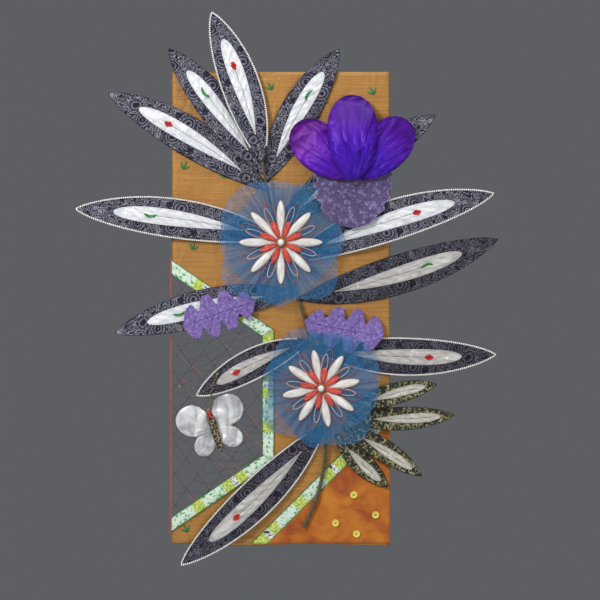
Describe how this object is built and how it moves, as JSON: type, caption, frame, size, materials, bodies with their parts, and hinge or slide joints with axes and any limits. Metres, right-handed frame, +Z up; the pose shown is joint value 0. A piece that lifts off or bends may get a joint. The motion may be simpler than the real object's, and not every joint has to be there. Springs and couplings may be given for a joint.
{
  "type": "layered textile wall hanging",
  "caption": "Tall gold cloth wall hanging with a see-through net window and layered, padded leaves, stars and a bloom that reach past its edges.",
  "frame": {"origin": "middle of the ground cloth's top edge, at its back, where it meets the wall", "axes": "+Z up along the hanging, +X to the right as seen from the front, and the front faces -Y"},
  "size_m": [0.9263, 0.0579, 1.2126],
  "materials": {
    "gold_silk": "slubbed gold silk, satin sheen",
    "net_thread": "fine black thread, matte",
    "coral_cord": "thin twisted coral cord, matte",
    "pieced_border": "green and white pieced cotton prints, matte",
    "orange_batik": "mottled orange dyed cotton, matte",
    "yellow_button": "glossy yellow buttons",
    "dark_jacquard": "dark violet jacquard with pale scrolls",
    "white_satin": "padded white satin",
    "olive_print": "olive and black printed cotton, matte",
    "cream_satin": "padded cream satin",
    "branch_cord": "dark brown padded cord, matte",
    "star_white": "padded white satin points",
    "star_coral": "padded coral satin points",
    "blue_veil": "sheer blue tulle",
    "purple_satin": "gathered purple satin, strong sheen",
    "lavender_lace": "dusty lavender textured lace",
    "lavender_batik": "mottled lavender dyed cotton",
    "silver_satin": "silver white satin",
    "gold_brocade": "black and gold brocade"
  },
  "bodies": {
    "root": {"ground_cloth": "gold_silk", "net": "net_thread", "edge_cord": "coral_cord", "border_upper": "pieced_border", "border_side": "pieced_border", "border_lower": "pieced_border", "border_corner": "pieced_border", "corner_block": "orange_batik", "button_1": "yellow_button", "button_2": "yellow_button", "button_3": "yellow_button", "button_4": "yellow_button", "button_5": "yellow_button", "leaf_crown_right": "dark_jacquard", "leaf_crown_left": "dark_jacquard", "leaf_crown_back": "dark_jacquard", "leaf_high_right": "dark_jacquard", "leaf_middle_right": "dark_jacquard", "leaf_middle_left": "dark_jacquard", "leaf_top": "dark_jacquard", "leaf_far_left": "dark_jacquard", "leaf_far_right": "dark_jacquard", "leaf_side_right": "dark_jacquard", "leaf_foot_left": "dark_jacquard", "leaf_low_left": "dark_jacquard", "inlay_crown_right": "white_satin", "inlay_crown_left": "white_satin", "inlay_crown_back": "white_satin", "inlay_high_right": "white_satin", "inlay_middle_right": "white_satin", "inlay_middle_left": "white_satin", "inlay_top": "white_satin", "inlay_far_left": "white_satin", "inlay_far_right": "white_satin", "inlay_side_right": "white_satin", "inlay_foot_left": "white_satin", "inlay_low_left": "white_satin", "branch": "branch_cord", "sprig_leaf_1": "olive_print", "sprig_leaf_2": "olive_print", "sprig_leaf_3": "olive_print", "sprig_leaf_4": "olive_print", "sprig_inlay_1": "cream_satin", "sprig_inlay_2": "cream_satin", "sprig_inlay_3": "cream_satin", "sprig_inlay_4": "cream_satin", "oak_leaf_right": "lavender_batik", "oak_leaf_left": "lavender_batik", "veil_upper": "blue_veil", "veil_lower": "blue_veil", "star_white_upper": "star_white", "star_white_lower": "star_white", "star_coral_upper": "star_coral", "star_coral_lower": "star_coral", "tulip_lace": "lavender_lace", "tulip_right": "purple_satin", "tulip_left": "purple_satin", "tulip_centre": "purple_satin", "butterfly_wings": "silver_satin", "butterfly_body": "gold_brocade"}
  },
  "joints": []
}
